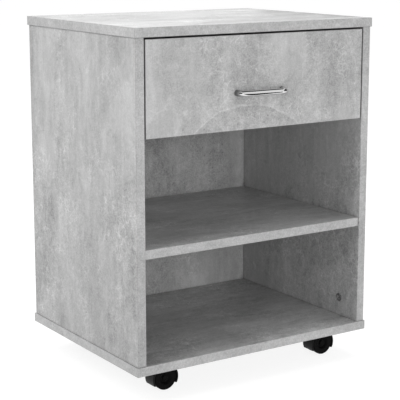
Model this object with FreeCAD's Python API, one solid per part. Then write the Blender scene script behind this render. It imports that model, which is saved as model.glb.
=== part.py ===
import FreeCAD, Part
import os
from FreeCAD import Placement, Rotation, Vector

# Rolling cabinet of concrete-look board: one drawer on roller runners, two open compartments, four castors.
# Lengths are in millimetres. X runs to the right, the drawer opens towards -Y and Z is up.
# The origin is at floor level, under the middle of the whole object's box.

# Carcase
WIDTH = 460.0
DEPTH = 360.0
CARCASE_HEIGHT = 540.0
BOARD = 15.0
SIDE_OVERHANG = 2.0
FRONT_OVERHANG = 2.0
REAR_OVERHANG = 3.0
LOWER_COMPARTMENT_HEIGHT = 170.0
SHELF_SETBACK = 2.0
EDGE_EASE = 0.6

# Drawer
DRAWER_FRONT_HEIGHT = 150.0
DRAWER_SIDE_GAP = 2.5
DRAWER_TOP_GAP = 3.0
DRAWER_REAR_GAP = 25.0
DRAWER_BOX_HEIGHT = 100.0
DRAWER_BOX_RAISE = 18.0
DRAWER_BOTTOM = 3.0
GROOVE_HEIGHT = 10.0
GROOVE_DEPTH = 6.0
GROOVE_CLEARANCE = 0.2

# Handle, a bow of bent rod
HANDLE_SPACING = 88.0
HANDLE_HEIGHT = 59.5
HANDLE_REACH = 22.0
HANDLE_ROD = 10.0
HANDLE_BEND = 14.0
HANDLE_THREAD = 9.0

# Roller runners
RUNNER_SPACE = 12.5
RUNNER_SETBACK = 2.0
ROLLER_MOUTH = 2.0
RUNNER_RAISE = 1.0
SHEET = 1.2
CHANNEL_FLANGE = 10.0
RAIL_FLANGE_GAP = 2.5
RAIL_FOOT = 12.0
RAIL_LIFT = 0.6
ROLLER_RADIUS = 8.0
ROLLER_WIDTH = 6.0
ROLLER_EASE = 0.6
ROLLER_INSET = 12.0
ROLLER_STANDOFF = 2.2
RUNNING_GAP = 0.3
RIVET_RADIUS = 2.0
RIVET_COLLAR = 3.0
RIVET_HEAD = 3.5
RIVET_HEAD_THICKNESS = 1.0

# Cam joints and dowels
CAM_DISTANCE = 32.0
CAM_INSET = 49.0
CAM_RADIUS = 7.4
CAM_DEPTH = 12.0
CAM_HUB = 2.6
CAM_RIM = 1.2
CAM_DISH = 2.2
CAM_SLOT_WIDTH = 1.2
CAM_SLOT_DEPTH = 2.4
BOLT_THREAD = 3.0
BOLT_THREAD_DEPTH = 11.0
BOLT_SHANK = 3.3
BOLT_NECK = 1.8
BOLT_NECK_LENGTH = 5.0
BOLT_HEAD_LENGTH = 3.0
EDGE_BORE = 3.8
DOWEL_RADIUS = 4.0
DOWEL_FACE_DEPTH = 10.0
DOWEL_EDGE_DEPTH = 20.0
DOWEL_EASE = 0.8
SIDE_DOWEL_SHARES = (0.38, 0.62)
BACK_DOWEL_SHARES = (0.3, 0.7)
DRAWER_JOINT_SHARES = (0.42, 0.8)

# Screws
FASTENER_FIT = 0.05
SCREW_RADIUS = 1.75
SCREW_POINT = 2.5
FLAT_HEAD = 3.3
PAN_HEAD = 3.4
PAN_HEAD_THICKNESS = 1.8
PAN_HEAD_EASE = 0.7
RUNNER_SCREW_LENGTH = 13.0
RUNNER_SCREW_SHARES = (0.16, 0.5, 0.86)
BOX_SCREW_LENGTH = 38.0
BOTTOM_SCREW_LENGTH = 15.0
BOTTOM_SCREW_SHARES = (0.1, 0.5, 0.9)
PLATE_SCREW_LENGTH = 13.0
HANDLE_SCREW_RADIUS = 2.0
HANDLE_SCREW_HEAD = 4.0
HANDLE_SCREW_HEAD_THICKNESS = 2.4

# Castors
CASTOR_HEIGHT = 50.0
CASTOR_SIDE_INSET = 67.5
CASTOR_END_INSET = 60.5
CASTOR_TRAIL = 13.0
PLATE_SIZE = 38.0
PLATE_THICKNESS = 2.0
PLATE_CORNER = 4.0
PLATE_HOLE_INSET = 5.5
KINGPIN_RADIUS = 3.0
KINGPIN_LENGTH = 26.0
KINGPIN_COLLAR = 6.0
KINGPIN_COLLAR_THICKNESS = 1.6
WHEEL_RADIUS = 20.0
WHEEL_WIDTH = 8.0
WHEEL_SHOULDER = 1.6
WHEEL_RIM = 9.0
WHEEL_DISH = 3.0
WHEEL_HUB = 5.0
WHEEL_HUB_EASE = 0.8
WHEEL_HUB_INSET = 1.0
CASTOR_AXLE_RADIUS = 3.0
CASTOR_AXLE_LENGTH = 18.0
HOOD_RADIUS = 24.0
HOOD_WALL = 2.8
HOOD_WIDTH = 26.5
HOOD_DROP = 10.7
HOOD_EASE = 1.0
HOOD_WEB = 9.0
HOOD_BOSS = 9.0
RUNNING_FIT = 0.05

# How far a cutting shape runs past the face that it cuts
OVERRUN = 1.0

# Places worked out from the sizes
FRONT_Y = (HANDLE_REACH - FRONT_OVERHANG - DEPTH) / 2
BACK_Y = FRONT_Y + DEPTH
SIDE_FRONT_Y = FRONT_Y + FRONT_OVERHANG
SIDE_BACK_Y = BACK_Y - REAR_OVERHANG
BACK_PANEL_Y = SIDE_BACK_Y - BOARD
FLOOR_BOARD_TOP = CASTOR_HEIGHT + BOARD
TOP = CASTOR_HEIGHT + CARCASE_HEIGHT
CEILING = TOP - BOARD
SHELF_UNDERSIDE = FLOOR_BOARD_TOP + LOWER_COMPARTMENT_HEIGHT
SIDE_X = WIDTH / 2 - SIDE_OVERHANG
INNER_X = SIDE_X - BOARD
SIDE_MIDDLE_X = SIDE_X - BOARD / 2
BACK_MIDDLE_Y = SIDE_BACK_Y - BOARD / 2
SHELF_FRONT_Y = SIDE_FRONT_Y + SHELF_SETBACK

DRAWER_FRONT_X = INNER_X - DRAWER_SIDE_GAP
DRAWER_FRONT_TOP = CEILING - DRAWER_TOP_GAP
DRAWER_FRONT_BASE = DRAWER_FRONT_TOP - DRAWER_FRONT_HEIGHT
BOX_FRONT_Y = SIDE_FRONT_Y + BOARD
BOX_BACK_Y = BACK_PANEL_Y - DRAWER_REAR_GAP
BOX_X = INNER_X - RUNNER_SPACE
BOX_INNER_X = BOX_X - BOARD
BOX_MIDDLE_X = BOX_X - BOARD / 2
BOX_BASE = DRAWER_FRONT_BASE + DRAWER_BOX_RAISE
BOX_TOP = BOX_BASE + DRAWER_BOX_HEIGHT
BOTTOM_BASE = BOX_BASE + GROOVE_HEIGHT
BOTTOM_TOP = BOTTOM_BASE + DRAWER_BOTTOM

CHANNEL_FRONT_Y = BOX_FRONT_Y + RUNNER_SETBACK
CHANNEL_BACK_Y = BOX_BACK_Y + RUNNER_SETBACK
CHANNEL_BASE = BOX_BASE + RUNNER_RAISE
TRACK = CHANNEL_BASE + SHEET
REAR_ROLLER_Z = TRACK + RUNNING_GAP + ROLLER_RADIUS
CHANNEL_TOP = REAR_ROLLER_Z + ROLLER_RADIUS + RUNNING_GAP + SHEET
RAIL_UNDERSIDE = CHANNEL_TOP + RAIL_LIFT
FRONT_ROLLER_Z = RAIL_UNDERSIDE - RUNNING_GAP - ROLLER_RADIUS
FRONT_ROLLER_Y = CHANNEL_FRONT_Y + ROLLER_INSET
REAR_ROLLER_Y = BOX_BACK_Y - ROLLER_INSET
ROLLER_X = INNER_X - SHEET - ROLLER_STANDOFF

UP = Vector(0, 0, 1)
DOWN = Vector(0, 0, -1)
RIGHT = Vector(1, 0, 0)
LEFT = Vector(-1, 0, 0)
BACK = Vector(0, 1, 0)
FRONT = Vector(0, -1, 0)

solids = {}
cutters = {}


def add(node, *shapes):
    solids.setdefault(node, []).extend(shapes)


def drill(node, *shapes):
    cutters.setdefault(node, []).extend(shapes)


def box(low, high):
    size = high - low
    return Part.makeBox(size.x, size.y, size.z, low)


def board(low, high):
    """A board between two corners, with its edges lightly eased."""
    block = box(low, high)
    return block.makeFillet(EDGE_EASE, block.Edges)


def cylinder(radius, start, end):
    return Part.makeCylinder(radius, (end - start).Length, start, end - start)


def turned(outline, base, axis):
    """A turned piece: an outline of (radius, height) points spun about an axis through base."""
    points = [Vector(radius, 0, height) for radius, height in outline]
    face = Part.Face(Part.makePolygon(points + points[:1]))
    piece = face.revolve(Vector(0, 0, 0), UP, 360)
    piece.Placement = Placement(base, Rotation(UP, axis))
    return piece


def mirrored(shape):
    return shape.mirror(Vector(0, 0, 0), RIGHT)


def bent_sheet(corners, start_y, end_y):
    """A strip of sheet steel on the left of a line of (x, z) corners, run from one Y to another."""
    line = Part.makePolygon([Vector(x, start_y, z) for x, z in corners])
    section = line.makeOffset2D(SHEET, 0, True, True)
    return section.extrude(BACK * (end_y - start_y))


def between(low, high, shares):
    return [low + (high - low) * share for share in shares]


# Flat-pack joints

def local_frame(point, along, face):
    """A frame whose Z runs along a joint and whose X looks out of the face that shows the cam."""
    return Placement(point, Rotation(face, along.cross(face), along, "ZXY"))


def cam_bolt():
    neck = CAM_DISTANCE - BOLT_HEAD_LENGTH / 2
    tip = CAM_DISTANCE + BOLT_HEAD_LENGTH / 2
    outline = [
        (0, -BOLT_THREAD_DEPTH),
        (BOLT_THREAD, -BOLT_THREAD_DEPTH),
        (BOLT_THREAD, 0),
        (BOLT_SHANK, 0),
        (BOLT_SHANK, neck - BOLT_NECK_LENGTH),
        (BOLT_NECK, neck - BOLT_NECK_LENGTH),
        (BOLT_NECK, neck),
        (BOLT_SHANK, neck),
        (BOLT_SHANK, tip),
        (0, tip),
    ]
    return turned(outline, Vector(0, 0, 0), UP)


def cam_lock():
    """A die-cast cam: a drum with a dished face, a slotted hub and an entry for the bolt's head."""
    shown = BOARD / 2
    outline = [
        (0, shown - CAM_DEPTH),
        (CAM_RADIUS, shown - CAM_DEPTH),
        (CAM_RADIUS, shown),
        (CAM_RADIUS - CAM_RIM, shown),
        (CAM_RADIUS - CAM_RIM, shown - CAM_DISH),
        (CAM_HUB, shown - CAM_DISH),
        (CAM_HUB, shown),
        (0, shown),
    ]
    centre = Vector(0, 0, CAM_DISTANCE)
    drum = turned(outline, centre, RIGHT)
    entry_end = centre + UP * (BOLT_HEAD_LENGTH / 2 + FASTENER_FIT)
    entry = cylinder(EDGE_BORE, centre - UP * (CAM_RADIUS + OVERRUN), entry_end)
    slot_low = Vector(shown - CAM_SLOT_DEPTH, -CAM_HUB, CAM_DISTANCE - CAM_SLOT_WIDTH / 2)
    slot_high = Vector(shown + OVERRUN, CAM_HUB, CAM_DISTANCE + CAM_SLOT_WIDTH / 2)
    slot = box(slot_low, slot_high)
    cross = slot.copy()
    cross.rotate(centre, RIGHT, 90)
    return drum.cut([entry, slot, cross])


def cam_joint(point, along, face, holder, joined, locks, bolts):
    """Bolts the end of the joined board to the face of the holder board and draws it in with a cam."""
    frame = local_frame(point, along, face)
    shown = BOARD / 2
    thread_hole = cylinder(BOLT_THREAD + FASTENER_FIT, DOWN * BOLT_THREAD_DEPTH, UP * OVERRUN)
    end_bore = cylinder(EDGE_BORE, DOWN * OVERRUN, UP * CAM_DISTANCE)
    centre = Vector(0, 0, CAM_DISTANCE)
    pocket_floor = centre + RIGHT * (shown - CAM_DEPTH)
    pocket = cylinder(CAM_RADIUS + FASTENER_FIT, pocket_floor, centre + RIGHT * (shown + OVERRUN))
    placed = []
    for shape in (cam_lock(), cam_bolt(), thread_hole, end_bore, pocket):
        shape.Placement = frame.multiply(shape.Placement)
        placed.append(shape)
    add(locks, placed[0])
    add(bolts, placed[1])
    drill(holder, placed[2])
    drill(joined, placed[3], placed[4])


def dowel_joint(point, along, holder, joined):
    """A beech dowel, part in the face of the holder board and part in the end of the joined board."""
    start = point - along * DOWEL_FACE_DEPTH
    end = point + along * DOWEL_EDGE_DEPTH
    length = DOWEL_FACE_DEPTH + DOWEL_EDGE_DEPTH
    outline = [
        (0, 0),
        (DOWEL_RADIUS - DOWEL_EASE, 0),
        (DOWEL_RADIUS, DOWEL_EASE),
        (DOWEL_RADIUS, length - DOWEL_EASE),
        (DOWEL_RADIUS - DOWEL_EASE, length),
        (0, length),
    ]
    add("wood_dowels", turned(outline, start, along))
    hole = cylinder(DOWEL_RADIUS + FASTENER_FIT, start, end)
    drill(holder, hole)
    drill(joined, hole)


# Screws

def flat_screw(node, boards, point, direction, length):
    """A countersunk screw whose head ends flush, with its hole in each board that it passes."""

    def shank(grow):
        return [
            (FLAT_HEAD + grow, 0),
            (SCREW_RADIUS + grow, SHEET),
            (SCREW_RADIUS + grow, length - SCREW_POINT),
            (0, length),
        ]

    add(node, turned([(0, 0)] + shank(0), point, direction))
    mouth = [(0, -OVERRUN), (FLAT_HEAD + FASTENER_FIT, -OVERRUN)]
    for name in boards:
        drill(name, turned(mouth + shank(FASTENER_FIT), point, direction))


def pan_screw(node, boards, point, direction, length):
    """A pan-head screw that seats under its head, with its hole in each board that it passes."""
    outline = [
        (0, -PAN_HEAD_THICKNESS),
        (PAN_HEAD - PAN_HEAD_EASE, -PAN_HEAD_THICKNESS),
        (PAN_HEAD, PAN_HEAD_EASE - PAN_HEAD_THICKNESS),
        (PAN_HEAD, 0),
        (SCREW_RADIUS, 0),
        (SCREW_RADIUS, length - SCREW_POINT),
        (0, length),
    ]
    add(node, turned(outline, point, direction))
    hole = cylinder(SCREW_RADIUS + FASTENER_FIT, point - direction * OVERRUN, point + direction * length)
    for name in boards:
        drill(name, hole)


# Carcase boards

def carcase():
    half = WIDTH / 2
    add("top_panel", board(Vector(-half, FRONT_Y, CEILING), Vector(half, BACK_Y, TOP)))
    floor_low = Vector(-half, FRONT_Y, CASTOR_HEIGHT)
    add("bottom_panel", board(floor_low, Vector(half, BACK_Y, FLOOR_BOARD_TOP)))
    side_low = Vector(-SIDE_X, SIDE_FRONT_Y, FLOOR_BOARD_TOP)
    side = board(side_low, Vector(-INNER_X, SIDE_BACK_Y, CEILING))
    add("left_side_panel", side)
    add("right_side_panel", mirrored(side))
    back_low = Vector(-INNER_X, BACK_PANEL_Y, FLOOR_BOARD_TOP)
    add("back_panel", board(back_low, Vector(INNER_X, SIDE_BACK_Y, CEILING)))
    shelf_low = Vector(-INNER_X, SHELF_FRONT_Y, SHELF_UNDERSIDE)
    shelf_high = Vector(INNER_X, BACK_PANEL_Y, SHELF_UNDERSIDE + BOARD)
    add("middle_shelf", board(shelf_low, shelf_high))


def carcase_joints():
    side_cams = (SIDE_FRONT_Y + CAM_INSET, SIDE_BACK_Y - CAM_INSET)
    side_dowels = between(SIDE_FRONT_Y, SIDE_BACK_Y, SIDE_DOWEL_SHARES)
    shelf_cams = (SHELF_FRONT_Y + CAM_INSET, BACK_PANEL_Y - CAM_INSET)
    shelf_dowel = (SHELF_FRONT_Y + BACK_PANEL_Y) / 2
    shelf_z = SHELF_UNDERSIDE + BOARD / 2
    back_cams = (FLOOR_BOARD_TOP + CAM_INSET, CEILING - CAM_INSET)
    back_dowels = between(FLOOR_BOARD_TOP, CEILING, BACK_DOWEL_SHARES)
    locks, bolts = "cam_locks", "cam_bolts"
    for sign, panel, inward in ((-1, "left_side_panel", RIGHT), (1, "right_side_panel", LEFT)):
        for level, along, holder in ((CEILING, DOWN, "top_panel"), (FLOOR_BOARD_TOP, UP, "bottom_panel")):
            for y in side_cams:
                point = Vector(sign * SIDE_MIDDLE_X, y, level)
                cam_joint(point, along, inward, holder, panel, locks, bolts)
            for y in side_dowels:
                dowel_joint(Vector(sign * SIDE_MIDDLE_X, y, level), along, holder, panel)
        for y in shelf_cams:
            point = Vector(sign * INNER_X, y, shelf_z)
            cam_joint(point, inward, DOWN, panel, "middle_shelf", locks, bolts)
        dowel_joint(Vector(sign * INNER_X, shelf_dowel, shelf_z), inward, panel, "middle_shelf")
        for z in back_cams:
            point = Vector(sign * INNER_X, BACK_MIDDLE_Y, z)
            cam_joint(point, inward, BACK, panel, "back_panel", locks, bolts)
        for z in back_dowels:
            dowel_joint(Vector(sign * INNER_X, BACK_MIDDLE_Y, z), inward, panel, "back_panel")


# Drawer

def drawer_box():
    front_low = Vector(-DRAWER_FRONT_X, SIDE_FRONT_Y, DRAWER_FRONT_BASE)
    front_high = Vector(DRAWER_FRONT_X, BOX_FRONT_Y, DRAWER_FRONT_TOP)
    add("drawer_front", board(front_low, front_high))
    side_low = Vector(-BOX_X, BOX_FRONT_Y, BOX_BASE)
    side = board(side_low, Vector(-BOX_INNER_X, BOX_BACK_Y, BOX_TOP))
    add("drawer_left_side", side)
    add("drawer_right_side", mirrored(side))
    back_low = Vector(-BOX_INNER_X, BOX_BACK_Y - BOARD, BOTTOM_TOP)
    add("drawer_back", board(back_low, Vector(BOX_INNER_X, BOX_BACK_Y, BOX_TOP)))
    groove = Vector(GROOVE_DEPTH, GROOVE_DEPTH, 0)
    groove_low = Vector(-BOX_INNER_X, BOX_FRONT_Y, BOTTOM_BASE) - groove
    groove_high = Vector(BOX_INNER_X + GROOVE_DEPTH, BOX_BACK_Y + OVERRUN, BOTTOM_TOP + GROOVE_CLEARANCE)
    cut = box(groove_low, groove_high)
    for node in ("drawer_front", "drawer_left_side", "drawer_right_side"):
        drill(node, cut)
    edge = Vector(GROOVE_CLEARANCE, GROOVE_CLEARANCE, 0)
    bottom_high = Vector(BOX_INNER_X + GROOVE_DEPTH - GROOVE_CLEARANCE, BOX_BACK_Y, BOTTOM_TOP)
    add("drawer_bottom", box(groove_low + edge, bottom_high))


def drawer_joints():
    levels = between(BOX_BASE, BOX_TOP, DRAWER_JOINT_SHARES)
    back_middle = BOX_BACK_Y - BOARD / 2
    for sign, side, outward in ((-1, "drawer_left_side", LEFT), (1, "drawer_right_side", RIGHT)):
        for z in levels:
            point = Vector(sign * BOX_MIDDLE_X, BOX_FRONT_Y, z)
            cam_joint(point, BACK, outward, "drawer_front", side, "drawer_cam_locks", "drawer_cam_bolts")
            head = Vector(sign * BOX_X, back_middle, z)
            flat_screw("drawer_back_screws", (side, "drawer_back"), head, outward * -1, BOX_SCREW_LENGTH)
    for x in between(-BOX_INNER_X, BOX_INNER_X, BOTTOM_SCREW_SHARES):
        seat = Vector(x, back_middle, BOTTOM_BASE)
        pan_screw("drawer_bottom_screws", ("drawer_bottom", "drawer_back"), seat, UP, BOTTOM_SCREW_LENGTH)


def handle():
    face = SIDE_FRONT_Y
    foot = HANDLE_SPACING / 2
    level = DRAWER_FRONT_BASE + HANDLE_HEIGHT
    bar = face - (HANDLE_REACH - HANDLE_ROD / 2)
    bend_y = bar + HANDLE_BEND
    bar_end = foot - HANDLE_BEND
    turn = Rotation(UP, 45).multVec(LEFT) * HANDLE_BEND

    def bend(sign):
        centre = Vector(sign * bar_end, bend_y, level)
        outside = centre + Vector(-sign * turn.x, turn.y, 0)
        leg_end = centre + RIGHT * (sign * HANDLE_BEND)
        return Part.Arc(leg_end, outside, centre + FRONT * HANDLE_BEND).toShape()

    path = Part.Wire([
        Part.LineSegment(Vector(-foot, face, level), Vector(-foot, bend_y, level)).toShape(),
        bend(-1),
        Part.LineSegment(Vector(-bar_end, bar, level), Vector(bar_end, bar, level)).toShape(),
        bend(1),
        Part.LineSegment(Vector(foot, bend_y, level), Vector(foot, face, level)).toShape(),
    ])
    section = Part.Wire(Part.Circle(Vector(-foot, face, level), FRONT, HANDLE_ROD / 2).toShape())
    add("handle", path.makePipeShell([section], True, False))
    for x in (-foot, foot):
        seat = Vector(x, BOX_FRONT_Y, level)
        tip = Vector(x, face - HANDLE_THREAD, level)
        head = cylinder(HANDLE_SCREW_HEAD, seat, seat + BACK * HANDLE_SCREW_HEAD_THICKNESS)
        add("handle_screws", head.fuse(cylinder(HANDLE_SCREW_RADIUS, tip, seat)).removeSplitter())
        hole = cylinder(HANDLE_SCREW_RADIUS + FASTENER_FIT, tip, seat + BACK * OVERRUN)
        drill("drawer_front", hole)
        drill("handle", hole)


# Roller runners, made for the left side and mirrored to the right

def roller():
    """The outline of a nylon roller with eased rims."""
    bore = RIVET_RADIUS + RUNNING_FIT
    return [
        (bore, 0),
        (ROLLER_RADIUS - ROLLER_EASE, 0),
        (ROLLER_RADIUS, ROLLER_EASE),
        (ROLLER_RADIUS, ROLLER_WIDTH - ROLLER_EASE),
        (ROLLER_RADIUS - ROLLER_EASE, ROLLER_WIDTH),
        (bore, ROLLER_WIDTH),
    ]


def rivet(roller_start):
    """The outline of a roller's axle: riveted in the sheet, a collar before the roller, a head after it."""
    collar_end = roller_start - RUNNING_GAP
    head_start = roller_start + ROLLER_WIDTH + RUNNING_GAP
    return [
        (0, 0),
        (RIVET_RADIUS, 0),
        (RIVET_RADIUS, SHEET),
        (RIVET_COLLAR, SHEET),
        (RIVET_COLLAR, collar_end),
        (RIVET_RADIUS, collar_end),
        (RIVET_RADIUS, head_start),
        (RIVET_HEAD, head_start),
        (RIVET_HEAD, head_start + RIVET_HEAD_THICKNESS),
        (0, head_start + RIVET_HEAD_THICKNESS),
    ]


def both_sides(left_node, right_node, shape):
    add(left_node, shape)
    add(right_node, mirrored(shape))


def cabinet_runners():
    outer = -INNER_X
    flange = outer + CHANNEL_FLANGE
    corners = [(flange, CHANNEL_TOP), (outer, CHANNEL_TOP), (outer, CHANNEL_BASE), (flange, CHANNEL_BASE)]
    channel = bent_sheet(corners, CHANNEL_FRONT_Y, CHANNEL_BACK_Y)
    mouth_low = Vector(outer + SHEET, CHANNEL_FRONT_Y - OVERRUN, REAR_ROLLER_Z)
    mouth_end = FRONT_ROLLER_Y + ROLLER_RADIUS + ROLLER_MOUTH
    mouth = box(mouth_low, Vector(flange + OVERRUN, mouth_end, CHANNEL_TOP + OVERRUN))
    axle = Vector(outer, FRONT_ROLLER_Y, FRONT_ROLLER_Z)
    hole = cylinder(RIVET_RADIUS + FASTENER_FIT, axle + LEFT * OVERRUN, axle + RIGHT * (SHEET + OVERRUN))
    both_sides("cabinet_runner_left", "cabinet_runner_right", channel.cut([mouth, hole]))
    pin = turned(rivet(SHEET + ROLLER_STANDOFF), axle, RIGHT)
    both_sides("cabinet_roller_axles", "cabinet_roller_axles", pin)
    wheel = turned(roller(), Vector(-ROLLER_X, FRONT_ROLLER_Y, FRONT_ROLLER_Z), RIGHT)
    both_sides("cabinet_roller_left", "cabinet_roller_right", wheel)
    middle = (CHANNEL_BASE + CHANNEL_TOP) / 2
    for y in between(CHANNEL_FRONT_Y, CHANNEL_BACK_Y, RUNNER_SCREW_SHARES):
        for sign, name, outward in ((-1, "left", LEFT), (1, "right", RIGHT)):
            head = Vector(sign * (INNER_X - SHEET), y, middle)
            boards = (f"cabinet_runner_{name}", f"{name}_side_panel")
            flat_screw("cabinet_runner_screws", boards, head, outward, RUNNER_SCREW_LENGTH)


def drawer_runners():
    web = -BOX_X
    tip = -INNER_X + RAIL_FLANGE_GAP
    rail_top = RAIL_UNDERSIDE + SHEET
    foot = web + RAIL_FOOT
    corners = [(foot, BOX_BASE), (web, BOX_BASE), (web, rail_top), (tip, rail_top)]
    rail = bent_sheet(corners, BOX_FRONT_Y, BOX_BACK_Y)
    axle = Vector(web, REAR_ROLLER_Y, REAR_ROLLER_Z)
    hole = cylinder(RIVET_RADIUS + FASTENER_FIT, axle + RIGHT * OVERRUN, axle + LEFT * (SHEET + OVERRUN))
    both_sides("drawer_runner_left", "drawer_runner_right", rail.cut(hole))
    roller_start = RUNNER_SPACE - SHEET - ROLLER_STANDOFF - ROLLER_WIDTH
    pin = turned(rivet(roller_start), axle, LEFT)
    both_sides("drawer_roller_axles", "drawer_roller_axles", pin)
    wheel = turned(roller(), Vector(-ROLLER_X, REAR_ROLLER_Y, REAR_ROLLER_Z), RIGHT)
    both_sides("drawer_roller_left", "drawer_roller_right", wheel)
    for y in between(BOX_FRONT_Y, BOX_BACK_Y, RUNNER_SCREW_SHARES):
        for sign, name in ((-1, "left"), (1, "right")):
            head = Vector(sign * BOX_MIDDLE_X, y, BOX_BASE - SHEET)
            boards = (f"drawer_runner_{name}", f"drawer_{name}_side")
            flat_screw("drawer_runner_screws", boards, head, UP, RUNNER_SCREW_LENGTH)


# Castors

def castor_plate(pivot):
    half = PLATE_SIZE / 2
    seat = CASTOR_HEIGHT - PLATE_THICKNESS
    low = Vector(pivot.x - half, pivot.y - half, seat)
    plate = box(low, Vector(pivot.x + half, pivot.y + half, CASTOR_HEIGHT))
    uprights = [edge for edge in plate.Edges if edge.tangentAt(edge.FirstParameter).cross(UP).Length == 0]
    return plate.makeFillet(PLATE_CORNER, uprights)


def kingpin(pivot):
    collar_start = PLATE_THICKNESS
    collar_end = PLATE_THICKNESS + KINGPIN_COLLAR_THICKNESS
    outline = [
        (0, 0),
        (KINGPIN_RADIUS, 0),
        (KINGPIN_RADIUS, collar_start),
        (KINGPIN_COLLAR, collar_start),
        (KINGPIN_COLLAR, collar_end),
        (KINGPIN_RADIUS, collar_end),
        (KINGPIN_RADIUS, KINGPIN_LENGTH),
        (0, KINGPIN_LENGTH),
    ]
    return turned(outline, Vector(pivot.x, pivot.y, CASTOR_HEIGHT), DOWN)


def castor_hood(pivot, axle):
    """A moulded hood over both wheels, with a web between them that holds the axle and the kingpin."""

    def drum(radius, width):
        return cylinder(radius, axle + FRONT * (width / 2), axle + BACK * (width / 2))

    outer = drum(HOOD_RADIUS, HOOD_WIDTH)
    rims = [edge for edge in outer.Edges if edge.Closed]
    outer = outer.makeFillet(HOOD_EASE, rims)
    inner = drum(HOOD_RADIUS - HOOD_WALL, HOOD_WIDTH + OVERRUN)
    boss_top = CASTOR_HEIGHT - PLATE_THICKNESS - KINGPIN_COLLAR_THICKNESS - RUNNING_GAP
    boss_start = Vector(pivot.x, pivot.y, axle.z)
    boss = cylinder(HOOD_BOSS, boss_start, Vector(pivot.x, pivot.y, boss_top))
    web = drum(HOOD_RADIUS - HOOD_WALL / 2, HOOD_WEB)
    body = outer.fuse(boss).cut(inner).fuse(web)
    reach = HOOD_RADIUS + OVERRUN
    below_low = Vector(axle.x - reach, axle.y - reach, axle.z - reach)
    below = box(below_low, Vector(axle.x + reach, axle.y + reach, axle.z - HOOD_DROP))
    pin_end = CASTOR_HEIGHT - KINGPIN_LENGTH - RUNNING_GAP
    pin_bore = cylinder(KINGPIN_RADIUS + RUNNING_FIT, Vector(pivot.x, pivot.y, pin_end), pivot)
    axle_bore = drum(CASTOR_AXLE_RADIUS + FASTENER_FIT, HOOD_WIDTH)
    return body.cut([below, pin_bore, axle_bore]).removeSplitter()


def castor_wheel(axle, side):
    """A moulded wheel with a dished outer face, a sunk hub cap and a blind bore for the axle."""
    inner = HOOD_WEB / 2 + RUNNING_GAP
    outer = inner + WHEEL_WIDTH
    bore = CASTOR_AXLE_RADIUS + RUNNING_FIT
    bore_end = CASTOR_AXLE_LENGTH / 2 + RUNNING_GAP
    rim = WHEEL_RADIUS - WHEEL_RIM
    hub_top = outer - WHEEL_HUB_INSET
    outline = [
        (bore, inner),
        (WHEEL_RADIUS, inner),
        (WHEEL_RADIUS, outer),
        (rim, outer),
        (rim - WHEEL_DISH, outer - WHEEL_DISH),
        (WHEEL_HUB, outer - WHEEL_DISH),
        (WHEEL_HUB, hub_top - WHEEL_HUB_EASE),
        (WHEEL_HUB - WHEEL_HUB_EASE, hub_top),
        (0, hub_top),
        (0, bore_end),
        (bore, bore_end),
    ]
    wheel = turned(outline, axle, side)
    tread = [edge for edge in wheel.Edges if edge.Closed and edge.BoundBox.ZLength > WHEEL_RADIUS + rim]
    return wheel.makeFillet(WHEEL_SHOULDER, tread)


def castors():
    x = WIDTH / 2 - CASTOR_SIDE_INSET
    places = {
        "front_left": (-x, FRONT_Y + CASTOR_END_INSET),
        "front_right": (x, FRONT_Y + CASTOR_END_INSET),
        "rear_left": (-x, BACK_Y - CASTOR_END_INSET),
        "rear_right": (x, BACK_Y - CASTOR_END_INSET),
    }
    seat = CASTOR_HEIGHT - PLATE_THICKNESS
    hole = PLATE_SIZE / 2 - PLATE_HOLE_INSET
    for name, (pivot_x, pivot_y) in places.items():
        pivot = Vector(pivot_x, pivot_y, CASTOR_HEIGHT)
        axle = Vector(pivot_x + CASTOR_TRAIL, pivot_y, WHEEL_RADIUS)
        plate = f"castor_plate_{name}"
        add(plate, castor_plate(pivot))
        below_plate = pivot + DOWN * (PLATE_THICKNESS + OVERRUN)
        drill(plate, cylinder(KINGPIN_RADIUS + FASTENER_FIT, below_plate, pivot + UP * OVERRUN))
        add("castor_kingpins", kingpin(pivot))
        for screw_x in (pivot_x - hole, pivot_x + hole):
            for screw_y in (pivot_y - hole, pivot_y + hole):
                head = Vector(screw_x, screw_y, seat)
                pan_screw("castor_plate_screws", (plate, "bottom_panel"), head, UP, PLATE_SCREW_LENGTH)
        add(f"castor_hood_{name}", castor_hood(pivot, axle))
        half = CASTOR_AXLE_LENGTH / 2
        add(f"castor_axle_{name}", cylinder(CASTOR_AXLE_RADIUS, axle + FRONT * half, axle + BACK * half))
        add(f"castor_wheel_{name}_front", castor_wheel(axle, FRONT))
        add(f"castor_wheel_{name}_back", castor_wheel(axle, BACK))


def export():
    os.makedirs("parts", exist_ok=True)
    for node, pieces in solids.items():
        if node in cutters:
            pieces = [piece.cut(cutters[node]) for piece in pieces]
        separate = [solid for piece in pieces for solid in piece.Solids]
        shape = separate[0] if len(separate) == 1 else Part.makeCompound(separate)
        shape.exportStep(f"parts/{node}.step")
        print(node, len(separate), round(shape.Volume), shape.isValid())


carcase()
carcase_joints()
drawer_box()
drawer_joints()
handle()
cabinet_runners()
drawer_runners()
castors()
export()
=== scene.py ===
# %% [markdown]
# A rolling cabinet with one drawer and two open compartments, on four twin-wheel castors.
# Its boards are chipboard with a printed concrete look, and its handle is a bent chrome rod.
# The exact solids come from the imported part. This lesson gives every piece its finish, adds two
# small cover caps, and lights the cabinet as in a white studio.

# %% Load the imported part
import math

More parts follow.
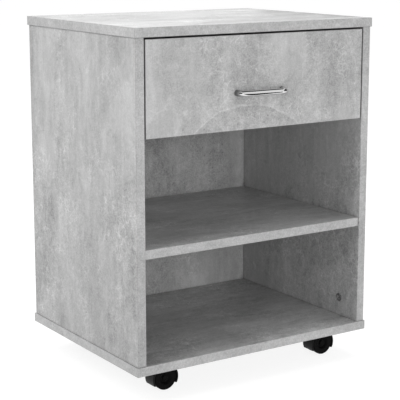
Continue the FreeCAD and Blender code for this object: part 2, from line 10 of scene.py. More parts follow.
import bpy
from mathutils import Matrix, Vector


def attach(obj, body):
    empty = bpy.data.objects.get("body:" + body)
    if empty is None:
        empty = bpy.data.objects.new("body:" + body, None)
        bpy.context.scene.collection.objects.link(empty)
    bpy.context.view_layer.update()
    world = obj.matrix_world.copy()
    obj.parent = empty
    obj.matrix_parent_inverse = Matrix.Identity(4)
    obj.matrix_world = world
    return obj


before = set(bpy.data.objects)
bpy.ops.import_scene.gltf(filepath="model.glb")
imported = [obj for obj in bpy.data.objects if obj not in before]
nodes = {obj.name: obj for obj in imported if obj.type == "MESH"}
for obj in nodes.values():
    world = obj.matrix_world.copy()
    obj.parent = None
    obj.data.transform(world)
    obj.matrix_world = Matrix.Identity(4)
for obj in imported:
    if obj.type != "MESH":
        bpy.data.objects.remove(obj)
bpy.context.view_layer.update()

# %% [markdown]
# The camera stands to the left of the cabinet, a little above its top, so that the top shows
# as a thin bright sliver. A camera can tilt down, or stay level and shift its frame down, which
# keeps the uprights parallel. A large shift would push the cabinet out of the other views, so
# most of the way down is tilt and only a small part is shift.

# %% Camera
FOCAL_PIXELS = 1252.2
IMAGE_PIXELS = 400
SENSOR_MM = 36.0
CAMERA_PLACE = (-1.16911, -1.76449, 0.71535)
CAMERA_TURN = 0.58673
CAMERA_TILT = 0.18702
SHIFT_ACROSS = -0.0075
SHIFT_UP = -0.055
FARTHEST_VIEW = 200

lens = bpy.data.cameras.new("studio_camera")
lens.sensor_width = SENSOR_MM
lens.lens = FOCAL_PIXELS / IMAGE_PIXELS * SENSOR_MM
lens.shift_x = SHIFT_ACROSS
lens.shift_y = SHIFT_UP
lens.clip_end = FARTHEST_VIEW
camera = bpy.data.objects.new("studio_camera", lens)
camera.location = CAMERA_PLACE
camera.rotation_euler = (math.pi / 2 - CAMERA_TILT, 0, -CAMERA_TURN)
bpy.context.scene.collection.objects.link(camera)
bpy.context.scene.camera = camera
bpy.context.scene.view_settings.view_transform = "Standard"
print("lens", round(lens.lens, 2), "mm")

# %% [markdown]
# The light and every finish below are small trees of nodes. Clicking them together in the node
# editor would do, but a script can repeat a tree with other numbers. The first helper adds a node
# and fills or links its inputs. The second does one step of arithmetic.

# %% Node helpers
def add_node(tree, kind, inputs=None, **settings):
    node = tree.nodes.new(kind)
    for key, value in settings.items():
        setattr(node, key, value)
    for key, value in (inputs or {}).items():
        if isinstance(value, bpy.types.NodeSocket):
            tree.links.new(value, node.inputs[key])
        else:
            node.inputs[key].default_value = value
    return node


def math_node(tree, operation, *values):
    inputs = dict(enumerate(values))
    return add_node(tree, "ShaderNodeMath", inputs, operation=operation).outputs[0]


print("node helpers are ready")

# %% [markdown]
# The studio is a white room with an even dome of light. To the camera, in mirrors and through
# clear things the dome is plain white. As light on the cabinet it is weaker, so that a grey board
# renders about as grey as it is written. Light Path tells the two kinds of ray apart.

# %% Dome
DOME = 0.66
WHITE = (1, 1, 1, 1)


def ray_that_shows(tree):
    """1 for a ray from the camera, from a mirror or through something clear, and otherwise 0."""
    rays = add_node(tree, "ShaderNodeLightPath").outputs
    seen = math_node(tree, "ADD", rays["Is Camera Ray"], rays["Is Glossy Ray"])
    seen = math_node(tree, "ADD", seen, rays["Is Transmission Ray"])
    return math_node(tree, "MINIMUM", seen, 1.0)


world = bpy.data.worlds.new("white_room")
bpy.context.scene.world = world
world.use_nodes = True
room = world.node_tree
room.nodes.clear()
lit = add_node(room, "ShaderNodeBackground", {"Color": WHITE, "Strength": DOME}).outputs[0]
shown = add_node(room, "ShaderNodeBackground", {"Color": WHITE, "Strength": 1.0}).outputs[0]
inputs = {0: ray_that_shows(room), 1: lit, 2: shown}
mixed = add_node(room, "ShaderNodeMixShader", inputs).outputs[0]
add_node(room, "ShaderNodeOutputWorld", {"Surface": mixed})
print("dome at", DOME)

# %% [markdown]
# An even dome alone would make all the boards equally bright. Three large soft lamps give each
# side its own tone: one in front, one at the left and one overhead. Sharper lamps would throw
# hard shadows into the compartments. Mirrors don't see the lamps, because their bright squares
# would leave white spots on the chrome.

# %% Lamps
AIM = Vector((0.0, 0.0, 0.3))


def soft_box(name, place, size, power):
    lamp = bpy.data.lights.new(name, "AREA")
    lamp.size = size
    lamp.energy = power
    lamp_object = bpy.data.objects.new(name, lamp)
    lamp_object.location = place
    sight = AIM - Vector(place)
    lamp_object.rotation_euler = sight.to_track_quat("-Z", "Y").to_euler()
    lamp_object.visible_glossy = False
    bpy.context.scene.collection.objects.link(lamp_object)
    print(name, "at", round(sight.length, 2), "m")


soft_box("front_box", place=(-0.7, -3.2, 0.6), size=1.4, power=38.0)
soft_box("left_box", place=(-1.9, -0.1, 2.3), size=1.4, power=33.0)
soft_box("top_box", place=(0.3, 0.6, 3.2), size=2.0, power=66.0)

# %% [markdown]
# The floor is one wide sheet of pale paint, which throws soft light up under the cabinet. To the
# camera and in mirrors it is a white glow with a small share of paint added. White paint alone
# would need far more light to look white. The glow hides the edge between floor and room, and the
# share of paint still takes the cabinet's shadow.

# %% Floor
FLOOR_SIZE = 80
FLOOR_PAINT = 0.55
FLOOR_GLOW = 0.87
FLOOR_SHARE = 0.2

bpy.ops.object.select_all(action="DESELECT")
bpy.ops.mesh.primitive_plane_add(size=FLOOR_SIZE, location=(0, 0, 0))
floor = bpy.context.object
floor.name = "studio_floor"
paint = bpy.data.materials.new("floor_paint")
paint.use_nodes = True
tree = paint.node_tree
tree.nodes.clear()
plain, share = (add_node(tree, "ShaderNodeBsdfDiffuse", {"Color": (tone, tone, tone, 1)}).outputs[0]
                for tone in (FLOOR_PAINT, FLOOR_SHARE))
inputs = {"Color": WHITE, "Strength": FLOOR_GLOW}
glow = add_node(tree, "ShaderNodeEmission", inputs).outputs[0]
white = add_node(tree, "ShaderNodeAddShader", {0: share, 1: glow}).outputs[0]
inputs = {0: ray_that_shows(tree), 1: plain, 2: white}
mixed = add_node(tree, "ShaderNodeMixShader", inputs).outputs[0]
add_node(tree, "ShaderNodeOutputMaterial", {"Surface": mixed})
floor.data.materials.append(paint)
print("floor", floor.name, FLOOR_SIZE, "m wide")

# %% [markdown]
# Bright metal only looks like metal when it has something dark to mirror, so a photographer
# stands black cards round it. One lies on the table, turned so that it darkens a band along the
# bar of the handle. One hangs overhead and draws the bar's thin dark top line. Tall ones at the
# left and at the right darken the two bends. A small one behind the cabinet takes the shine off
# the right end of the top. Dark paint on the handle would be simpler, but it would stay dark from
# every side. The cards show in reflections alone: the camera doesn't see them, and light passes
# through.

# %% Black cards
BLACK = (0.004, 0.004, 0.004, 1)
UPRIGHT = math.pi / 2
ALONG_THE_BAND = math.radians(58.4)

felt = bpy.data.materials.new("black_felt")
felt.use_nodes = True
felt.node_tree.nodes["Principled BSDF"].inputs["Base Color"].default_value = BLACK
felt.node_tree.nodes["Principled BSDF"].inputs["Roughness"].default_value = 1.0


def black_card(name, size, place, turn, axis):
    bpy.ops.object.select_all(action="DESELECT")
    bpy.ops.mesh.primitive_plane_add(size=1, location=(0, 0, 0))
    card = bpy.context.object
    card.name = name
    bpy.ops.object.mode_set(mode="EDIT")
    bpy.ops.transform.resize(value=(*size, 1))
    bpy.ops.transform.rotate(value=turn, orient_axis=axis, center_override=(0, 0, 0))
    bpy.ops.transform.translate(value=place)
    bpy.ops.object.mode_set(mode="OBJECT")
    for kind in ("camera", "diffuse", "shadow", "transmission", "volume_scatter"):
        setattr(card, f"visible_{kind}", False)
    card.data.materials.append(felt)
    print(name, "of", size, "m at", place)


black_card("table_card", (3.8, 3.0), (0.06, -2.745, 0.004), ALONG_THE_BAND, "Z")
black_card("overhead_card", (5.6, 2.6), (0.3, -0.45, 3.5), 0.0, "Z")
black_card("left_card", (2.6, 5.0), (-3.4, 0.6, 1.32), UPRIGHT, "Y")
black_card("rear_card", (1.5, 1.5), (2.47, 2.2, 1.0), UPRIGHT, "X")
black_card("right_card", (2.4, 2.8), (3.0, -1.1, 1.0), UPRIGHT, "Y")

# %% [markdown]
# A finish starts from Blender's Principled shader. What is the same all over the piece is set on
# the shader's own sockets. What changes over the surface is linked from patterns, which read the
# piece's own coordinates and so move with it. Pictures could be wrapped round the pieces, but they
# need unwrapping and they show seams.

# %% Finish helpers
def socket_name(key):
    """The shader's own name of a socket that is written as a plain word here."""
    return " ".join(word if word == "IOR" else word.title() for word in key.split("_"))


def new_finish(name, **sockets):
    finish = bpy.data.materials.new(name)
    finish.use_nodes = True
    shader = finish.node_tree.nodes["Principled BSDF"]
    for key, value in sockets.items():
        shader.inputs[socket_name(key)].default_value = value
    return finish, finish.node_tree, shader


def connect(tree, shader, **sockets):
    for key, value in sockets.items():
        tree.links.new(value, shader.inputs[socket_name(key)])


def dress(finish, *names):
    for name in names:
        slots = nodes[name].data.materials
        slots.clear()
        slots.append(finish)
    print(finish.name, "on", len(names), "pieces")


print("finish helpers are ready")

# %% [markdown]
# The patterns themselves are noise, which makes clouds and grain, and cells, which make dots and
# crystals. A ramp turns a soft pattern into patches with an edge. A weighed sum adds patterns to a
# mean, each with its own strength, so the mean stays where it was set.

# %% Pattern helpers
def object_spot(tree):
    return add_node(tree, "ShaderNodeTexCoord").outputs["Object"]


def noise(tree, vector, scale, detail=3.0, roughness=0.55, distortion=0.0):
    inputs = {"Vector": vector, "Scale": scale, "Detail": detail, "Roughness": roughness,
              "Distortion": distortion}
    return add_node(tree, "ShaderNodeTexNoise", inputs).outputs["Fac"]


def cells(tree, vector, scale, **settings):
    inputs = {"Vector": vector, "Scale": scale}
    return add_node(tree, "ShaderNodeTexVoronoi", inputs, **settings).outputs["Distance"]


def ramp(tree, value, low, high, low_out=0.0, high_out=1.0):
    inputs = {"Value": value, "From Min": low, "From Max": high, "To Min": low_out,
              "To Max": high_out}
    node = add_node(tree, "ShaderNodeMapRange", inputs, interpolation_type="SMOOTHSTEP")
    return node.outputs[0]


def weighed_sum(tree, mean, parts):
    """The mean plus each pattern's distance from its own middle, times its weight."""
    total = mean
    for pattern, weight, middle in parts:
        centred = math_node(tree, "SUBTRACT", pattern, middle)
        total = math_node(tree, "MULTIPLY_ADD", centred, weight, total)
    return total


def grey(tree, value):
    return add_node(tree, "ShaderNodeCombineColor", {0: value, 1: value, 2: value}).outputs[0]


def bump(tree, height, strength, depth):
    inputs = {"Strength": strength, "Distance": depth, "Height": height}
    return add_node(tree, "ShaderNodeBump", inputs).outputs[0]


print("pattern helpers are ready")

# %% [markdown]
# The boards carry a printed paper under a matt melamine skin. The print imitates concrete: soft
# clouds a hand wide, patches that are smooth or rough, a plaster mottle at every size, pale veils
# with torn edges, bands and broken streaks along the board, and fine grain. A photograph of
# concrete could be used, but noise on the board's own coordinates has no seams and never repeats.

# %% Clouds, plaster and streaks
AXES = "XYZ"
CLOUDS = dict(scale=5.0, detail=3.0, roughness=0.5, distortion=0.4)
PATCHES = dict(scale=7.0, detail=6.0, roughness=0.62, distortion=0.6)
PATCH_EDGE = (0.38, 0.62)
PLASTER = dict(scale=15.0, detail=9.0, roughness=0.8, distortion=0.3)
CRUMBS = dict(scale=85.0, detail=5.0, roughness=0.7, distortion=0.5)
VEILS = dict(scale=12.0, detail=8.0, roughness=0.68, distortion=0.5)
VEIL_EDGE = (0.49, 0.56)
BANDS = dict(scale=17.0, detail=3.0, roughness=0.5, distortion=0.5)
STREAKS = dict(scale=95.0, detail=4.0, roughness=0.6, distortion=0.6)
GRAINS = dict(scale=420.0, detail=2.0, roughness=0.6)
STREAK_SQUEEZE = 0.12


def drawn_out(tree, spot, grain, squeeze):
    """The spot on the board, squeezed along the grain so that a pattern there is drawn out."""
    scale = [squeeze if axis == grain else 1.0 for axis in AXES]
    return add_node(tree, "ShaderNodeMapping", {"Vector": spot, "Scale": scale}).outputs[0]


def clouded_layers(tree, spot, grain, squeeze):
    along = drawn_out(tree, spot, grain, squeeze)
    brushed = drawn_out(tree, spot, grain, STREAK_SQUEEZE)
    return {
        "clouds": noise(tree, spot, **CLOUDS),
        "patches": ramp(tree, noise(tree, along, **PATCHES), *PATCH_EDGE),
        "plaster": noise(tree, along, **PLASTER),
        "crumbs": noise(tree, spot, **CRUMBS),
        "veils": ramp(tree, noise(tree, along, **VEILS), *VEIL_EDGE),
        "bands": noise(tree, brushed, **BANDS),
        "streaks": noise(tree, brushed, **STREAKS),
        "grains": noise(tree, spot, **GRAINS),
    }


print("cloud layers drawn out along the grain by", round(1 / STREAK_SQUEEZE, 1))

# %% [markdown]
# Concrete also has small marks that come in groups: clusters of fine scratches, pale flecks and
# dark pores. Each is a pattern of cells that shows only where a broad field of noise is high. The
# borders of bent cells make scratches, and the middles of cells make dots. Scattering real dots
# and lines over the boards would need thousands of faces for a mark that has no depth.

# %% Scratches, flecks and pores
SCRATCH_BEND = dict(Scale=60.0, Detail=3.0)
SCRATCH_BEND_REACH = (0.02, 0.02, 0.02)
SCRATCH_CELLS = 75.0
SCRATCH_WIDTH = (0.02, 0.09)
WORN_FIELD = dict(scale=17.0, detail=5.0, roughness=0.7)
WORN_EDGE = (0.5, 0.62)
FLECKS = dict(scale=230.0, size=(0.08, 0.3), field=dict(scale=31.0, detail=3.0), edge=(0.52, 0.68))
PORES = dict(scale=95.0, size=(0.08, 0.2), field=dict(scale=14.0, detail=2.0), edge=(0.5, 0.65))


def scratch_layer(tree, spot):
    bend = add_node(tree, "ShaderNodeTexNoise", {"Vector": spot, **SCRATCH_BEND}).outputs["Color"]
    bent = add_node(tree, "ShaderNodeVectorMath", {0: bend, 1: SCRATCH_BEND_REACH, 2: spot},
                    operation="MULTIPLY_ADD").outputs[0]
    border = cells(tree, bent, SCRATCH_CELLS, feature="DISTANCE_TO_EDGE")
    worn = ramp(tree, noise(tree, spot, **WORN_FIELD), *WORN_EDGE)
    return math_node(tree, "MULTIPLY", ramp(tree, border, *SCRATCH_WIDTH, 1.0, 0.0), worn)


def dot_layer(tree, spot, scale, size, field, edge):
    dots = ramp(tree, cells(tree, spot, scale), *size, 1.0, 0.0)
    return math_node(tree, "MULTIPLY", dots, ramp(tree, noise(tree, spot, **field), *edge))


def print_layers(tree, spot, grain, squeeze):
    """All the layers of the concrete print by name."""
    return {
        **clouded_layers(tree, spot, grain, squeeze),
        "scratches": scratch_layer(tree, spot),
        "flecks": dot_layer(tree, spot, **FLECKS),
        "pores": dot_layer(tree, spot, **PORES),
    }


print("scratch cells", round(1000 / SCRATCH_CELLS, 1), "mm wide")

# %% [markdown]
# Now the layers become one grey. Each is written as a change in reflectance round the board's
# mean grey, with its weight and its own middle. The rough patches show more of the fine layers and
# the smooth ones less. The narrow edges carry a strip of the same paper without streaks. On the
# eased corner between face and edge a thin dark line is painted: partly the paper's dark core, and
# partly painted shade for the grooves where boards meet.

# %% Grey of faces and edges
EDGE_GREY = 0.43
FINE_SHARES = {"plaster": (0.44, 0.5), "crumbs": (0.27, 0.5), "grains": (0.34, 0.5),
               "scratches": (0.10, 0.1), "pores": (-0.12, 0.0)}
BROAD_SHARES = {"clouds": (0.22, 0.5), "patches": (-0.04, 0.5), "veils": (0.05, 0.5),
                "flecks": (0.12, 0.0)}
EDGE_SHARES = {"clouds": (0.15, 0.5), "plaster": (0.4, 0.5), "crumbs": (0.25, 0.5),
               "grains": (0.34, 0.5), "pores": (-0.1, 0.0)}
PATCH_ROUGHENS = (0.6, 1.3)
FACE_TURN = (0.6, 0.9)
CORNER_TURN = (0.9, 0.99)
CORNER_SHADE = 0.72


def layer_sum(tree, mean, layers, shares, strength=1.0):
    return weighed_sum(tree, mean, [(layers[name], weight * strength, middle)
                                    for name, (weight, middle) in shares.items()])


def face_grey(tree, layers, tone, contrast, streak):
    fine = layer_sum(tree, 0.0, layers, FINE_SHARES, contrast)
    fine = math_node(tree, "MULTIPLY", fine, ramp(tree, layers["patches"], 0, 1, *PATCH_ROUGHENS))
    shares = {**BROAD_SHARES, "bands": (streak, 0.5), "streaks": (streak, 0.5)}
    return math_node(tree, "ADD", layer_sum(tree, tone, layers, shares, contrast), fine)


def with_edges(tree, on_faces, layers, normal, face):
    on_edges = layer_sum(tree, EDGE_GREY, layers, EDGE_SHARES)
    turned = add_node(tree, "ShaderNodeVectorMath", {0: normal}, operation="ABSOLUTE").outputs[0]
    turned = add_node(tree, "ShaderNodeSeparateXYZ", {0: turned}).outputs
    inputs = {0: ramp(tree, turned[AXES.index(face)], *FACE_TURN), 2: on_edges, 3: on_faces}
    both = add_node(tree, "ShaderNodeMix", inputs, data_type="FLOAT").outputs[0]
    squarest = math_node(tree, "MAXIMUM", turned[0], turned[1])
    squarest = math_node(tree, "MAXIMUM", squarest, turned[2])
    # The eased corners get a darker line, which is partly the paper's core and partly painted shade
    # in the joints.
    return math_node(tree, "MULTIPLY", both, ramp(tree, squarest, *CORNER_TURN, CORNER_SHADE, 1.0))


print("edges mean", EDGE_GREY, "corner lines", round(EDGE_GREY * CORNER_SHADE, 2))

# %% [markdown]
# On the drawer front the print shows arcs where a trowel left the wet plaster. An arc is a pale
# thin line with a pale wash outside it and a darker one inside. It could be modelled as a groove,
# but a print has no depth. The distance from the arc's middle gives the line, a little noise makes
# it waver, and a broken field rubs out parts of it.

# %% Trowel arcs
ARC_WAVER = 0.012
ARC_LINE = (0.0005, 0.0026)
WASH_OUTSIDE = dict(reach=-0.018, strength=0.4, rim=0.001)
WASH_INSIDE = dict(reach=(0.002, 0.035), strength=0.4, rim=0.0015)
WAVER_FIELD = dict(scale=30.0, detail=3.0)
BROKEN_FIELD = dict(scale=24.0, detail=4.0, roughness=0.65)
BROKEN_EDGE = (0.38, 0.54)


def arc_mark(tree, inside):
    """The line and the two washes, from how far a spot lies inside the arc."""
    line = ramp(tree, math_node(tree, "ABSOLUTE", inside), *ARC_LINE, 1.0, 0.0)
    fade = ramp(tree, inside, WASH_OUTSIDE["reach"], 0.0, 0.0, WASH_OUTSIDE["strength"])
    outside_only = ramp(tree, inside, 0.0, WASH_OUTSIDE["rim"], 1.0, 0.0)
    pale = math_node(tree, "MULTIPLY", fade, outside_only)
    fade = ramp(tree, inside, *WASH_INSIDE["reach"], WASH_INSIDE["strength"], 0.0)
    inside_only = ramp(tree, inside, 0.0, WASH_INSIDE["rim"])
    dark = math_node(tree, "MULTIPLY", fade, inside_only)
    return math_node(tree, "SUBTRACT", math_node(tree, "ADD", line, pale), dark)


def trowel_marks(tree, place, arcs):
    upright = {"Vector": place, "Scale": (1.0, 0.0, 1.0)}
    flat = add_node(tree, "ShaderNodeMapping", upright).outputs[0]
    waver = math_node(tree, "MULTIPLY_ADD", noise(tree, place, **WAVER_FIELD), ARC_WAVER,
                      -ARC_WAVER / 2)
    total = 0.0
    for x, z, radius, strength in arcs:
        reach = add_node(tree, "ShaderNodeVectorMath", {0: flat, 1: (x, 0.0, z)},
                         operation="DISTANCE").outputs["Value"]
        inside = math_node(tree, "ADD", math_node(tree, "SUBTRACT", radius, reach), waver)
        total = math_node(tree, "MULTIPLY_ADD", arc_mark(tree, inside), strength, total)
    broken = ramp(tree, noise(tree, place, **BROKEN_FIELD), *BROKEN_EDGE)
    return math_node(tree, "MULTIPLY", total, broken)


print("arc line", round(2000 * ARC_LINE[1], 1), "mm wide at most")

# %% [markdown]
# The skin over the print is matt, but not evenly: the plaster's tooth shows in the gloss too.
# Painted shade darkens the grey where boards meet and near the floor. A dark line could be modelled
# in every joint, but ambient occlusion finds the tight places by itself, within a finger's breadth,
# and the shade is painted there. Near the floor the painted shade just falls off with height.

# %% Laminated board
MELAMINE_IOR = 1.5
MEAN_GREY = 0.43
CREVICE_REACH = 0.012
CREVICE_SAMPLES = 8
CREVICE_SPAN = (0.1, 0.7)
CREVICE_SHADE = 0.5
FLOOR_SHADE_SPAN = (0.05, 0.26)
ROUGH_MEAN = 0.40
ROUGH_SHARES = {"plaster": (0.25, 0.5), "grains": (0.14, 0.5)}
RELIEF_SHARES = {"grains": (0.6, 0.5), "streaks": (0.4, 0.5), "pores": (-0.8, 0.0)}
RELIEF = dict(strength=0.25, depth=0.0003)


def painted_shade(tree, place, floor_shade):
    """Painted shade: 1 on open board, less in tight joints and gaps and, for a board with floor
    shade, near the floor.
    """
    # Painted shade: ambient occlusion darkens the grey in tight joints and in the gaps round the
    # drawer.
    open_air = add_node(tree, "ShaderNodeAmbientOcclusion", {"Distance": CREVICE_REACH},
                        samples=CREVICE_SAMPLES).outputs["AO"]
    unshaded = ramp(tree, open_air, *CREVICE_SPAN, CREVICE_SHADE, 1.0)
    # Painted shade near the floor: the grey falls off towards the floor.
    if floor_shade:
        height = add_node(tree, "ShaderNodeSeparateXYZ", {0: place}).outputs["Z"]
        unshaded = math_node(tree, "MULTIPLY", unshaded, ramp(tree, height, *FLOOR_SHADE_SPAN, 1.0 - floor_shade, 1.0))
    return unshaded


def laminate(name, face, grain, contrast=1.0, streak=0.16, squeeze=0.45, shift=0.0,
             tone=MEAN_GREY, floor_shade=0.0, arcs=()):
    """The finish of a board by the axis its faces look along and the axis its streaks run along."""
    finish, tree, shader = new_finish(name, IOR=MELAMINE_IOR)
    place = add_node(tree, "ShaderNodeTexCoord").outputs
    moved = {"Vector": place["Object"], "Location": (shift, shift, shift)}
    spot = add_node(tree, "ShaderNodeMapping", moved).outputs[0]
    layers = print_layers(tree, spot, grain, squeeze)
    shade = face_grey(tree, layers, tone, contrast, streak)
    if arcs:
        shade = math_node(tree, "ADD", shade, trowel_marks(tree, place["Object"], arcs))
    shade = with_edges(tree, shade, layers, place["Normal"], face)
    # The painted shade of joints, gaps and floor multiplies the board's grey.
    shade = math_node(tree, "MULTIPLY", shade, painted_shade(tree, place["Object"], floor_shade))
    connect(tree, shader, base_color=grey(tree, shade),
            roughness=layer_sum(tree, ROUGH_MEAN, layers, ROUGH_SHARES),
            normal=bump(tree, layer_sum(tree, 0.0, layers, RELIEF_SHARES), **RELIEF))
    return finish


print("board grey", MEAN_GREY, "crevices within", 1000 * CREVICE_REACH, "mm")

# %% [markdown]
# Each board gets its own sheet of the print, with the streaks along the board as on the real one:
# upright on the sides, the back and the drawer front, and crosswise on the top, the shelf and the
# bottom. One finish for all the boards would run the streaks the same way everywhere. A shift
# moves the sheet, so that neighbours don't match.

# %% Boards
# The back board's grey is set lower than the others: painted shade for the dim inside of the
# compartments.
BACK_SHADE_GREY = 0.39
DRAWER_GREY = 0.445
LEFT_SHIFT = 0.27
DRAWER_SHIFT = 0.17
# The middle of each arc across and up, its radius, and its strength.
TROWEL_ARCS = (
    (-0.0232, 0.3047, 0.1567, 0.075),
    (0.03, 0.36, 0.095, 0.02),
    (-0.172, 0.42, 0.045, 0.025),
    (0.17, 0.40, 0.12, 0.02),
)

# The two sides carry painted shade near the floor.
dress(laminate("concrete_left_side", "X", "Z", shift=LEFT_SHIFT, floor_shade=0.14), "left_side_panel")
dress(laminate("concrete_right_side", "X", "Z", floor_shade=0.08), "right_side_panel")
# The back board's lower grey is painted shade.
dress(laminate("concrete_back", "Y", "Z", contrast=0.9, tone=BACK_SHADE_GREY), "back_panel")
dress(laminate("concrete_flat_boards", "Z", "X", contrast=1.2),
      "top_panel", "middle_shelf", "bottom_panel")
dress(laminate("concrete_drawer_front", "Y", "Z", contrast=0.9, streak=0.12, squeeze=0.6,
               shift=DRAWER_SHIFT, tone=DRAWER_GREY, arcs=TROWEL_ARCS), "drawer_front")
dress(laminate("concrete_drawer_sides", "X", "Y"), "drawer_left_side", "drawer_right_side")
dress(laminate("concrete_drawer_back", "Y", "X"), "drawer_back")

# %% [markdown]
# The drawer bottom is thin fibreboard with a light grey paint film. It is plain, but the film
# shows the board's fibres as a fine cloudy grain, and it is a little glossier than the boards. A
# flat colour would look like card, so two sizes of noise tint it and the finer one lifts it.

# %% Drawer bottom
FILM_GREY = 0.6
FILM_ROUGH = 0.5

finish, tree, shader = new_finish("painted_fibreboard", roughness=FILM_ROUGH)
spot = object_spot(tree)
fibres = noise(tree, spot, scale=260.0, detail=4.0, roughness=0.7, distortion=1.5)
clouds = noise(tree, spot, scale=12.0)
shade = weighed_sum(tree, FILM_GREY, [(fibres, 0.12, 0.5), (clouds, 0.08, 0.5)])
connect(tree, shader, base_color=grey(tree, shade),
        normal=bump(tree, fibres, strength=0.3, depth=0.0002))
dress(finish, "drawer_bottom")

# %% [markdown]
# The handle is a bent steel rod in bright chrome, close to a mirror, with a trace of haze from
# polishing. A perfect mirror would look drawn, so fine noise changes its gloss and tint. Its feet
# carry painted shade near the drawer, for the shaded drawer face they mirror: the tint falls off
# with depth.

# %% Chrome
CHROME_TINT = 0.67
CHROME_ROUGH = 0.035
FEET_SPAN = (-0.183, -0.173)
FEET_SHADE_TINT = 0.3

finish, tree, shader = new_finish("bright_chrome", metallic=1.0)
spot = object_spot(tree)
haze = noise(tree, spot, scale=900.0)
tint = weighed_sum(tree, CHROME_TINT, [(noise(tree, spot, scale=60.0), 0.05, 0.5)])
depth = add_node(tree, "ShaderNodeSeparateXYZ", {0: spot}).outputs["Y"]
# Painted shade: the tint darkens on the feet towards the drawer face.
tint = math_node(tree, "MULTIPLY", tint, ramp(tree, depth, *FEET_SPAN, 1.0, FEET_SHADE_TINT))
connect(tree, shader, base_color=grey(tree, tint),
        roughness=weighed_sum(tree, CHROME_ROUGH, [(haze, 0.03, 0.5)]))
dress(finish, "handle")

# %% [markdown]
# Screws, cam locks and castor plates are plated with zinc, which is grey and crystalline, so its
# tone and gloss change in small spots. Brushed metal would have lines, and these pieces are
# tumbled and dipped. Cells give the crystals and noise the clouds. The castor steel is a little
# darker and shinier than the fittings.

# %% Zinc
CASTORS = ("front_left", "front_right", "rear_left", "rear_right")


def plated(name, tone, rough):
    finish, tree, shader = new_finish(name, metallic=1.0)
    spot = object_spot(tree)
    crystals = cells(tree, spot, scale=700.0)
    clouds = noise(tree, spot, scale=150.0)
    shade = weighed_sum(tree, tone, [(crystals, 0.1, 0.4), (clouds, 0.14, 0.5)])
    gloss = weighed_sum(tree, rough, [(crystals, 0.1, 0.4), (clouds, 0.12, 0.5)])
    connect(tree, shader, base_color=grey(tree, shade), roughness=gloss,
            normal=bump(tree, clouds, strength=0.2, depth=0.0001))
    return finish


dress(plated("zinc_fittings", tone=0.52, rough=0.42),
      "cam_locks", "cam_bolts", "drawer_cam_locks", "drawer_cam_bolts", "cabinet_runner_screws",
      "drawer_runner_screws", "drawer_back_screws", "drawer_bottom_screws", "handle_screws",
      "castor_plate_screws", "cabinet_roller_axles", "drawer_roller_axles")
dress(plated("plated_castor_steel", tone=0.46, rough=0.36), "castor_kingpins",
      *(f"castor_{piece}_{castor}" for piece in ("plate", "axle") for castor in CASTORS))

# %% [markdown]
# The cam locks low at the rear of the sides are hidden under stick-on caps, punched from a foil
# with the same print. A cap is a thin round disc, and the punch leaves its rim a little rolled. A
# disc of the cap's own thickness with a bevelled front rim shows as a faint ring on the board. A
# ring drawn in the print would vanish in slanting light.

# %% Cover cap
CAP_RADIUS = 0.0083
CAP_THICK = 0.0005
CAP_ROLL = 0.0003
CAP_SIDES = 64
CAP_PLACE = (0.213, 0.138, 0.097)
ROLL_STEPS = 3
SMOOTH_BELOW = math.radians(40)

bpy.ops.object.select_all(action="DESELECT")
bpy.ops.mesh.primitive_cylinder_add(vertices=CAP_SIDES, radius=CAP_RADIUS, depth=CAP_THICK,
                                    location=(0, 0, 0))
cap = bpy.context.object
cap.name = "cover_cap_right"
bpy.ops.object.mode_set(mode="EDIT")
bpy.ops.transform.rotate(value=math.pi / 2, orient_axis="Y", center_override=(0, 0, 0))
bpy.ops.transform.translate(value=Vector(CAP_PLACE) - Vector((CAP_THICK / 2, 0, 0)))
bpy.ops.mesh.select_all(action="DESELECT")
bpy.ops.object.mode_set(mode="OBJECT")
for face in cap.data.polygons:
    face.select = len(face.vertices) > 4 and face.normal.x < 0
bpy.ops.object.mode_set(mode="EDIT")
bpy.ops.mesh.select_mode(type="FACE")
bpy.ops.mesh.bevel(offset=CAP_ROLL, segments=ROLL_STEPS, affect="EDGES")
bpy.ops.object.mode_set(mode="OBJECT")
bpy.ops.object.shade_smooth_by_angle(angle=SMOOTH_BELOW)
cap.data.materials.append(laminate("cap_foil", "X", "Z", contrast=0.8, shift=0.4))
print(cap.name, "faces", len(cap.data.polygons))

# %% [markdown]
# The left cap is a copy of the right one, turned half round about an upright line midway between
# the sides, so that its rolled rim looks inwards too. A mirrored copy would be inside out, and a
# second disc would repeat the work. Both caps are stuck to the sides, so they ride on the carcase.

# %% Second cap
bpy.ops.object.duplicate(linked=False)
twin = bpy.context.object
twin.name = "cover_cap_left"
bpy.ops.object.mode_set(mode="EDIT")
bpy.ops.mesh.select_all(action="SELECT")
bpy.ops.transform.rotate(value=math.pi, orient_axis="Z", center_override=(0, *CAP_PLACE[1:]))
bpy.ops.object.mode_set(mode="OBJECT")
for piece in (cap, twin):
    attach(piece, "carcase")
    spread = [vertex.co.x for vertex in piece.data.vertices]
    print(piece.name, "x from", round(min(spread), 4), "to", round(max(spread), 4))

# %% [markdown]
# The runners are sheet steel with a white powder coat. The powder melts in an oven and flows into
# a faint orange peel. Shaping that would take a very dense mesh, so a bump of fine noise stands in
# for it.

# %% Runners
COAT_WHITE = 0.74
COAT_ROUGH = 0.38

finish, tree, shader = new_finish("white_powder_coat", roughness=COAT_ROUGH)
spot = object_spot(tree)
peel = noise(tree, spot, scale=420.0, detail=2.0)
shade = weighed_sum(tree, COAT_WHITE, [(noise(tree, spot, scale=25.0), 0.05, 0.5)])
connect(tree, shader, base_color=grey(tree, shade),
        normal=bump(tree, peel, strength=0.35, depth=0.0001))
dress(finish, "cabinet_runner_left", "cabinet_runner_right", "drawer_runner_left",
      "drawer_runner_right")

# %% [markdown]
# The rollers are natural nylon, which is milky and shows how it flowed in the mould. The dowels
# are beech with rings along their length. Both have two tones and a pattern that goes between
# them: noise for the flow, and a wave that is bent a little for the rings.

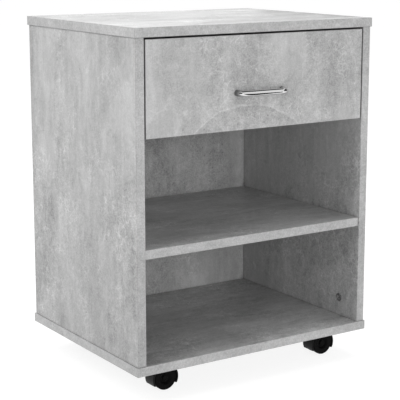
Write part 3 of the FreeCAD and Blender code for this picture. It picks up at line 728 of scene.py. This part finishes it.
# %% Rollers and dowels
ROLLER_ROUGH = 0.42
MILKY_NYLON = ((0.74, 0.73, 0.68, 1), (0.86, 0.85, 0.81, 1))
DOWEL_ROUGH = 0.6
BEECH = ((0.52, 0.35, 0.2, 1), (0.66, 0.49, 0.32, 1))


def two_tones(tree, share, tones):
    inputs = {0: share, 6: tones[0], 7: tones[1]}
    return add_node(tree, "ShaderNodeMix", inputs, data_type="RGBA").outputs[2]


finish, tree, shader = new_finish("natural_nylon")
flow = noise(tree, object_spot(tree), scale=180.0)
connect(tree, shader, base_color=two_tones(tree, flow, MILKY_NYLON),
        roughness=weighed_sum(tree, ROLLER_ROUGH, [(flow, 0.2, 0.5)]))
dress(finish, "cabinet_roller_left", "cabinet_roller_right", "drawer_roller_left",
      "drawer_roller_right")

finish, tree, shader = new_finish("fluted_beech", roughness=DOWEL_ROUGH)
inputs = {"Vector": object_spot(tree), "Scale": 90.0, "Distortion": 3.0}
rings = add_node(tree, "ShaderNodeTexWave", inputs).outputs["Fac"]
connect(tree, shader, base_color=two_tones(tree, rings, BEECH))
dress(finish, "wood_dowels")

# %% [markdown]
# The castors are moulded in black nylon. Black plastic still shows its shape by gloss: a fine
# spark-eroded grain breaks the highlight, and handling polishes some places more than others. The
# hoods are satin and catch the light on their shoulders. The wheels are matt from rolling and stay
# nearly black. One black for both would melt them into one lump. Both finishes carry painted shade
# in grooves and dishes, where the piece shades itself.

# %% Castor plastic
DISH_REACH = 0.012
DISH_SPAN = (0.25, 0.95)
DISH_SHADE = 0.1


def moulded(name, tone, gloss, rough):
    finish, tree, shader = new_finish(name, specular_IOR_level=gloss)
    spot = object_spot(tree)
    grain = noise(tree, spot, scale=900.0, detail=2.0)
    cloud = noise(tree, spot, scale=70.0)
    # Painted shade: occlusion within the piece darkens the base colour in grooves and dishes.
    open_air = add_node(tree, "ShaderNodeAmbientOcclusion", {"Distance": DISH_REACH},
                        only_local=True).outputs["AO"]
    open_air = ramp(tree, open_air, *DISH_SPAN, DISH_SHADE, 1.0)
    shade = weighed_sum(tree, tone, [(cloud, 0.6 * tone, 0.5), (grain, 0.5 * tone, 0.5)])
    connect(tree, shader, base_color=grey(tree, math_node(tree, "MULTIPLY", shade, open_air)),
            roughness=weighed_sum(tree, rough, [(cloud, 0.2, 0.5), (grain, 0.15, 0.5)]),
            normal=bump(tree, grain, strength=0.25, depth=0.0001))
    return finish


dress(moulded("satin_black_nylon", tone=0.006, gloss=0.11, rough=0.36),
      *(f"castor_hood_{castor}" for castor in CASTORS))
dress(moulded("matt_black_nylon", tone=0.004, gloss=0.05, rough=0.46),
      *(f"castor_wheel_{castor}_{side}" for castor in CASTORS for side in ("front", "back")))
